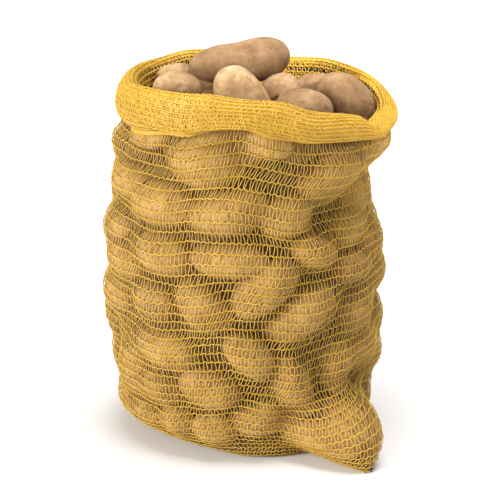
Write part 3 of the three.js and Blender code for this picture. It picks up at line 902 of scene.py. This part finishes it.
def top_potatoes():
    """The loose potatoes in the mouth, each a piece of its own."""
    ball, faces = icosphere(BALL_LEVELS["loose"])
    for i, row in enumerate(rows_of(TOP_POTATOES)):
        x, y, z, half_length, half_width, turn, rise, taper, waist = row
        seed = POTATO_SEEDS["loose"] + i
        shape = potato_points(ball, seed, half_length, half_width, FULLNESS, taper, waist, EYES)
        points = turned(shape, np.radians(turn), np.radians(rise)) + (x, y, z)
        tones = (TOP_TONES[i], TOP_TONES[i])
        name = f"top_potato_{i + 1}"
        # Painted light: each loose potato is lighter on its sides towards the key light
        piece = joined_potatoes(name, [points], faces, seed, tones, POTATO_SKIN, painted_top_light_at)
        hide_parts(f"potato_top_{i + 1}")


# The net

# Columns of the net, spread evenly over the span with the corner and over the rest of the round,
# and steps of the surfaces that it follows
COLUMNS = STITCHES * STITCH_STEPS
CORNER_SPAN = 150
SIDES = CORNER_SIDE - CORNER_SPAN / 2 + np.arange(COLUMNS) * 360 / COLUMNS
FINE_SIDES = SIDES[0] + np.arange(2 * COLUMNS) * 180 / COLUMNS
GRID_STEPS = 500
SURFACE_STEPS = {"rounding": 16, "wall": 140, "cuff": 160, "base": 40}


def even_columns(rings):
    """Rings of points with as many columns as the net, evenly apart beside the corner and elsewhere."""
    split = round(2 * COLUMNS * CORNER_SPAN / 360)
    beside, elsewhere = np.arange(split + 1), np.arange(split, 2 * COLUMNS + 1)
    columns = []
    for index, count in ((beside, split // 2), (elsewhere, COLUMNS - split // 2)):
        part = rings[index % (2 * COLUMNS)]
        steps = np.linalg.norm(np.diff(part, axis=0), axis=2)
        run = np.concatenate([np.zeros((1, rings.shape[1])), np.cumsum(steps, axis=0)])
        share = np.arange(count) / count
        columns.append(np.stack([
            np.stack([np.interp(share * line[-1], line, ring[:, axis]) for axis in range(3)], axis=-1)
            for line, ring in zip(run.T, part.transpose(1, 0, 2))
        ], axis=1))
    return np.concatenate(columns)


def averaged_round(values):
    """Values of the columns evened out with those on either side."""
    steps = np.arange(-2 * ROW_STRAIGHTNESS, 2 * ROW_STRAIGHTNESS + 1)
    weights = np.exp(-((steps / ROW_STRAIGHTNESS) ** 2))
    total = sum(weight * np.roll(values, step, axis=0) for weight, step in zip(weights, steps))
    return total / weights.sum()


class Surface:
    """A stretch of the net, from columns of points, resampled evenly along each column."""

    def __init__(self, rings):
        columns = even_columns(rings)
        steps = np.linalg.norm(np.diff(columns, axis=1), axis=2)
        run = np.concatenate([np.zeros((COLUMNS, 1)), np.cumsum(steps, axis=1)], axis=1)
        run = averaged_round(run)
        self.length = run[:, -1]
        even = np.linspace(0, 1, GRID_STEPS)
        self.points = np.stack([
            np.stack([np.interp(even * line[-1], line, column[:, axis]) for axis in range(3)], axis=-1)
            for line, column in zip(run, columns)
        ])
        round_way = np.roll(self.points, -1, axis=0) - np.roll(self.points, 1, axis=0)
        along = np.gradient(self.points, axis=1)
        self.normals = unit(np.cross(round_way, along))

    def at(self, values, column, share):
        """Values of a grid at columns, which may lie between two, and shares of their length."""
        low = np.floor(column).astype(int)
        part = (column - low)[..., None]
        place = np.clip(share, 0, 1) * (GRID_STEPS - 1)
        step = np.minimum(np.floor(place).astype(int), GRID_STEPS - 2)
        rest = (place - step)[..., None]
        first, second = low % COLUMNS, (low + 1) % COLUMNS
        return (
            (values[first, step] * (1 - rest) + values[first, step + 1] * rest) * (1 - part)
            + (values[second, step] * (1 - rest) + values[second, step + 1] * rest) * part
        )


def tubes(path, normal, width, height, closed):
    """Four-sided flattened tubes along paths of shape (tubes, points, 3)."""
    if closed:
        tangent = unit(np.roll(path, -1, axis=1) - np.roll(path, 1, axis=1))
    else:
        tangent = unit(np.gradient(path, axis=1))
    across = unit(np.cross(normal, tangent))
    ring = [across * width / 2, normal * height / 2, -across * width / 2, -normal * height / 2]
    points = np.stack([path + offset for offset in ring], axis=2)
    count, steps = path.shape[:2]
    index = np.arange(count * steps * 4).reshape(count, steps, 4)
    if closed:
        start, end = index, np.roll(index, -1, axis=1)
    else:
        start, end = index[:, :-1], index[:, 1:]
    walls = np.stack([start, np.roll(start, -1, axis=2), np.roll(end, -1, axis=2), end], axis=-1)
    faces = [walls.reshape(-1, 4)]
    if not closed:
        faces += [index[:, 0, ::-1], index[:, -1]]
    return points.reshape(-1, 3), np.concatenate(faces)


class Yarn:
    """Collects tubes or layers of yarn for one piece of the net, chains as 0 and strands as 1."""

    def __init__(self):
        self.points, self.faces, self.strand, self.count = [], [], [], 0

    def add(self, points, faces, strand):
        self.points.append(points)
        self.faces.append(faces + self.count)
        self.strand.append(np.full(len(points), strand))
        self.count += len(points)

    def piece(self, name, material):
        made = make_piece(
            name,
            np.concatenate(self.points),
            np.concatenate(self.faces),
            material,
            {"strand": np.concatenate(self.strand)},
        )
        return made


def row_share(surface, row, rows, seed, pulled):
    """Where a row of chain stitches runs, as shares of the columns' lengths."""
    share = row / rows
    ease = min(1, 4 * share * (1 - share) + EDGE_DRIFT)
    lift = ROW_DRIFT * ease * ripple(SIDES, share * surface.length.mean(), seed)
    if pulled:
        share = share * (ROW_TIGHTNESS + (1 - ROW_TIGHTNESS) * share)
        for side, height, side_spread, height_spread, most in rows_of(ROW_PULLS):
            away = side_between(side, SIDES) / side_spread
            above = (share * surface.length.mean() - height) / height_spread
            lift = lift + most * smoothstep(share, 0, PULL_START) * np.exp(-(away**2) - above**2)
    return share + lift / surface.length


def row_turn(surface, row, rows, seed):
    """How far the stitches of a row are shifted round the sack, in strands."""
    height = row / rows * surface.length.mean()
    return LEAN * row + SHEAR * ripple(SIDES, height, seed + 1)


def chain_wave(surface, row, rows, seed, height, pulled):
    """The run of a row with its scallops: up where it holds strands from above, down in between."""
    strand = np.arange(COLUMNS) * 2 / STITCH_STEPS
    scallop = height * np.cos(np.pi * (strand - 0.5 - row_turn(surface, row, rows, seed)))
    return row_share(surface, row, rows, seed, pulled) + scallop / surface.length


def knit(surface, rows, first, last, seed, yarn, pulled=False):
    """The chains of rows first to last - 1, and the strands from each of them to the next."""
    made = Yarn()
    random = np.random.default_rng(seed + first)
    column = np.arange(COLUMNS, dtype=float)
    strand = np.arange(2 * STITCHES)
    way = np.where(strand % 2, -1, 1) * yarn["zigzag"] / 2
    part = np.array([0, 0.5, 1])
    for row in range(first, last):
        wave = chain_wave(surface, row, rows, seed, yarn["scallop"], pulled)
        normal = surface.at(surface.normals, column, wave)
        path = surface.at(surface.points, column, wave) + normal * yarn["proud"]
        made.add(*tubes(path[None], normal[None], *yarn["chain"], True), 0.0)
        if row == rows:
            continue
        above = chain_wave(surface, row + 1, rows, seed, yarn["scallop"], pulled)
        middle = strand * STITCH_STEPS // 2
        slip = random.normal(0, yarn["loose"], (2, len(strand)))
        start = strand + row_turn(surface, row, rows, seed)[middle] + way + slip[0]
        end = strand + row_turn(surface, row + 1, rows, seed)[middle] - way + slip[1]
        place = (start[:, None] + (end - start)[:, None] * part) * STITCH_STEPS / 2
        lower = np.interp(place % COLUMNS, column, wave, period=COLUMNS)
        upper = np.interp(place % COLUMNS, column, above, period=COLUMNS)
        share = lower + (upper - lower) * part
        normal = surface.at(surface.normals, place, share)
        bow = random.normal(0, STRAND_BOW, len(strand))[:, None] * np.array([0, 1, 0])
        path = surface.at(surface.points, place, share) + normal * bow[..., None]
        made.add(*tubes(path, normal, *yarn["strand"], False), 1.0)
    return made


def wall_surface():
    """The net's wall, from the edge of the base up to the cuff."""
    side = FINE_SIDES[:, None]
    rounding = BASE_ROUNDING * (1 - np.cos(np.linspace(0, np.pi / 2, SURFACE_STEPS["rounding"])))
    share = np.linspace(0, 1, SURFACE_STEPS["wall"])[1:]
    upright = BASE_ROUNDING + share * (wall_top(side) - BASE_ROUNDING)
    heights = np.concatenate([np.tile(rounding, (len(side), 1)), upright], axis=1)
    reach, lean_x = wall_reach(side, heights)
    return Surface(point_on(side, reach, heights + NET_LIFT, lean_x))


def cuff_rings(run):
    """Rings through the roll of the cuff."""
    run = dict(run, place=np.arange(len(run["out"]), dtype=float))
    step = read_table(run, "place", np.linspace(0, len(run["out"]) - 1, SURFACE_STEPS["cuff"]))
    side = FINE_SIDES[:, None]
    crest = crest_of(side)
    out = step["out"] + step["full"] * crest["fullness"] - step["inward"] * crest["roll"]
    height = crest["crest"] - step["down"] * crest["drop"]
    return point_on(side, crest["reach"] + out, height, crest["lean_x"])


def cuff_surface():
    """The net's run through the roll of the cuff."""
    top = wall_top(FINE_SIDES)
    reach, lean_x = wall_reach(FINE_SIDES, top)
    start = point_on(FINE_SIDES, reach, top + NET_LIFT, lean_x)
    return Surface(np.concatenate([start[:, None], cuff_rings(CUFF_RUN)], axis=1))


def base_surface():
    """The underside, from its seam out to the edge of the base."""
    edge = point_on(FINE_SIDES, base_reach(FINE_SIDES), NET_LIFT)
    seam = np.array([np.sin(np.radians(CORNER_SIDE)), -np.cos(np.radians(CORNER_SIDE)), 0])
    middle = (edge @ seam)[:, None] * seam * SEAM_LENGTH + np.array([0, 0, NET_LIFT])
    share = np.linspace(SEAM_START, 1, SURFACE_STEPS["base"])[:, None]
    return Surface(middle[:, None] + (edge - middle)[:, None] * share)


def matted_layer(surface, start, end, steps):
    """A layer behind the yarn from one share of a surface's length to another, ribbed by that yarn."""
    rows = (np.linspace(start, end, steps) * (GRID_STEPS - 1)).astype(int)
    points, normals = surface.points[::2, rows], surface.normals[::2, rows]
    turn = np.arange(len(points)) * np.pi / 2 + CORE_RIB["turn"]
    rib = np.cos(turn)[:, None] * np.cos(rows * CORE_RIB["ripple"])
    front = points + normals * (CORE_BEHIND - CORE_RIB["depth"] * rib)[..., None]
    back = points + normals * (CORE_BEHIND + CORE_THICKNESS)
    loop = np.concatenate([front, back[:, ::-1]], axis=1)
    index = np.arange(loop.shape[0] * loop.shape[1]).reshape(loop.shape[:2])
    ahead, beyond = np.roll(index, -1, axis=0), np.roll(index, -1, axis=1)
    faces = np.stack([index, ahead, np.roll(ahead, -1, axis=1), beyond], axis=-1)
    return loop.reshape(-1, 3), faces.reshape(-1, 4)


def cuff_core(cuff):
    """The matted inner layers of the cuff: one through its roll, and one low behind its lining."""
    roll = Surface(cuff_rings({name: column[CORE_RUN] for name, column in CUFF_RUN.items()}))
    layers = Yarn()
    layers.add(*matted_layer(roll, 0, 1, CORE_STEPS), CORE_COLOUR)
    layers.add(*matted_layer(cuff, 0, LINING_BACKED, LINING_STEPS), CORE_COLOUR)
    return layers.piece("net_cuff_core", CUFF_NET)


def corner_ends():
    """The loose ends of yarn where the seam finishes, at the tip of the bottom corner."""
    random = np.random.default_rng(NET_SEEDS["ends"])
    side = np.array(CORNER["side"][0])
    tip = point_on(side, base_reach(side) - ENDS_INWARD, ENDS_HEIGHT)
    out = point_on(side, 1, 0)
    ways = out + random.normal(size=(ENDS["count"], 3)) * ENDS_SPREAD
    length = random.uniform(*ENDS["length"], ENDS["count"])
    part = np.linspace(0, 1, ENDS["steps"])[:, None]
    sag = part**2 * np.array([0, 0, -ENDS_SAG])
    path = tip + ways[:, None] * length[:, None, None] * part + sag
    path[..., 2] = np.maximum(path[..., 2], ENDS["yarn"][1] / 2)
    normal = np.broadcast_to(unit(np.array(ENDS_UP)), path.shape)
    return tubes(path, normal, *ENDS["yarn"], False)


def net_pieces():
    """The net in stretches: its base, the bands of its wall, and the layers of its cuff."""
    wall, cuff, base = wall_surface(), cuff_surface(), base_surface()
    bands = {"net_base": knit(base, BASE_ROWS, 0, BASE_ROWS, NET_SEEDS["base"], WALL_YARN)}
    for name, (first, last) in WALL_BANDS.items():
        bands[name] = knit(wall, WALL_ROWS, first, last, NET_SEEDS["wall"], WALL_YARN, pulled=True)
    bands["net_wall_low"].add(*corner_ends(), 0.0)
    seed = NET_SEEDS["cuff"]
    bands["net_cuff_inner"] = knit(cuff, LINING_ROWS, 0, LINING_LAST, seed, LINING_YARN)
    bands["net_cuff_outer"] = knit(cuff, CUFF_ROWS, CUFF_FIRST, CUFF_ROWS + 1, seed, CUFF_YARN)
    pieces = [yarn.piece(name, CUFF_NET if "cuff" in name else NET_YARN) for name, yarn in bands.items()]
    pieces.append(cuff_core(cuff))
    for piece in pieces:
        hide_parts("sack_net")


def drawstring():
    """The cord in the hollow of the cuff, woven in and out of its stitches."""
    sides = np.arange(-180, 180, CORD_STEP)
    crest = crest_of(sides)
    route = around(DRAWSTRING, sides)
    sway = np.sin(np.radians(CORD_WEAVES * sides))
    reach = crest["reach"] + route["out"] - ROLL_HOLD * crest["roll"] + CORD_SWAY["out"] * sway
    height = crest["crest"] - route["down"] + CORD_SWAY["up"] * sway
    path = point_on(sides, reach, height, crest["lean_x"])
    normal = point_on(sides, np.ones_like(sides), np.zeros_like(sides))
    points, faces = tubes(path[None], normal[None], *CORD_SIZE, True)
    piece = make_piece("drawstring_cord", points, faces, CORD)
    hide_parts("drawstring")


# Stage

CAMERA_DISTANCE = 1950
CAMERA_RISE = 19.5
CAMERA_AIM = np.array([4.8, 0, 221])
CAMERA_LENS = 117
CAMERA_SENSOR = 36
FLOOR_HALF = 12000
FLOOR_SHADES = (0.86, 0.9)
WORLD_LIGHT = 0.33
SACK_MIDDLE = (0, 0, 240)

# The lights: their place, size and power, and for some what they aim at and how wide they spread
LIGHTS = {
    "key": {"place": (-4400, -2500, 1900), "size": 1800, "power": 300},
    "top": {"place": (500, -100, 4200), "size": 2500, "power": 200},
    "mouth": {
        "place": (2000, -2000, 2000),
        "size": 250,
        "power": 0.3,
        "aim": (230, -60, 560),
        "spread": 6,
    },
    "backdrop": {
        "place": (0, 3300, 3000),
        "size": 2500,
        "power": 60,
        "aim": (0, 3600, 0),
        "spread": 70,
    },
}


def look_at(thing, place, aim):
    thing.location = Vector(place) * MM
    thing.rotation_euler = (Vector(aim) - Vector(place)).to_track_quat("-Z", "Y").to_euler()


def camera():
    data = bpy.data.cameras.new("camera")
    data.lens = CAMERA_LENS
    data.sensor_width = CAMERA_SENSOR
    made = bpy.data.objects.new("camera", data)
    bpy.context.scene.collection.objects.link(made)
    rise = np.radians(CAMERA_RISE)
    place = CAMERA_AIM + CAMERA_DISTANCE * np.array([0, -np.cos(rise), np.sin(rise)])
    look_at(made, place, CAMERA_AIM)
    bpy.context.scene.camera = made


def area_light(name, place, size, power, aim=SACK_MIDDLE, spread=180):
    data = bpy.data.lights.new(name, "AREA")
    data.size = size * MM
    data.energy = power
    data.spread = np.radians(spread)
    made = bpy.data.objects.new(name, data)
    bpy.context.scene.collection.objects.link(made)
    look_at(made, place, aim)


def floor_piece():
    nodes = Nodes("pale_floor")
    low, high = ((shade, shade, shade) for shade in FLOOR_SHADES)
    nodes.link(nodes.ramp(nodes.noise(3), (0.3, low), (0.7, high)), nodes.shader.inputs["Base Color"])
    nodes.set(Roughness=0.9, Specular_IOR_Level=0.1)
    half = FLOOR_HALF * MM
    corners = [(-half, -half, 0), (half, -half, 0), (half, half, 0), (-half, half, 0)]
    mesh = bpy.data.meshes.new("floor")
    mesh.from_pydata(corners, [], [(0, 1, 2, 3)])
    mesh.materials.append(nodes.material)
    floor = bpy.data.objects.new("floor", mesh)
    bpy.context.scene.collection.objects.link(floor)


def studio():
    """The pale floor, the even light of the surroundings, and the lamps."""
    floor_piece()
    world = bpy.data.worlds.new("studio")
    world.use_nodes = True
    background = world.node_tree.nodes["Background"]
    background.inputs["Color"].default_value = (1, 1, 1, 1)
    background.inputs["Strength"].default_value = WORLD_LIGHT
    bpy.context.scene.world = world
    for name, light in LIGHTS.items():
        area_light(name, **light)
    bpy.context.scene.view_settings.view_transform = "Standard"


camera()
studio()
wall_potatoes()
inner_heap()
under_potatoes()
top_potatoes()
net_pieces()
drawstring()
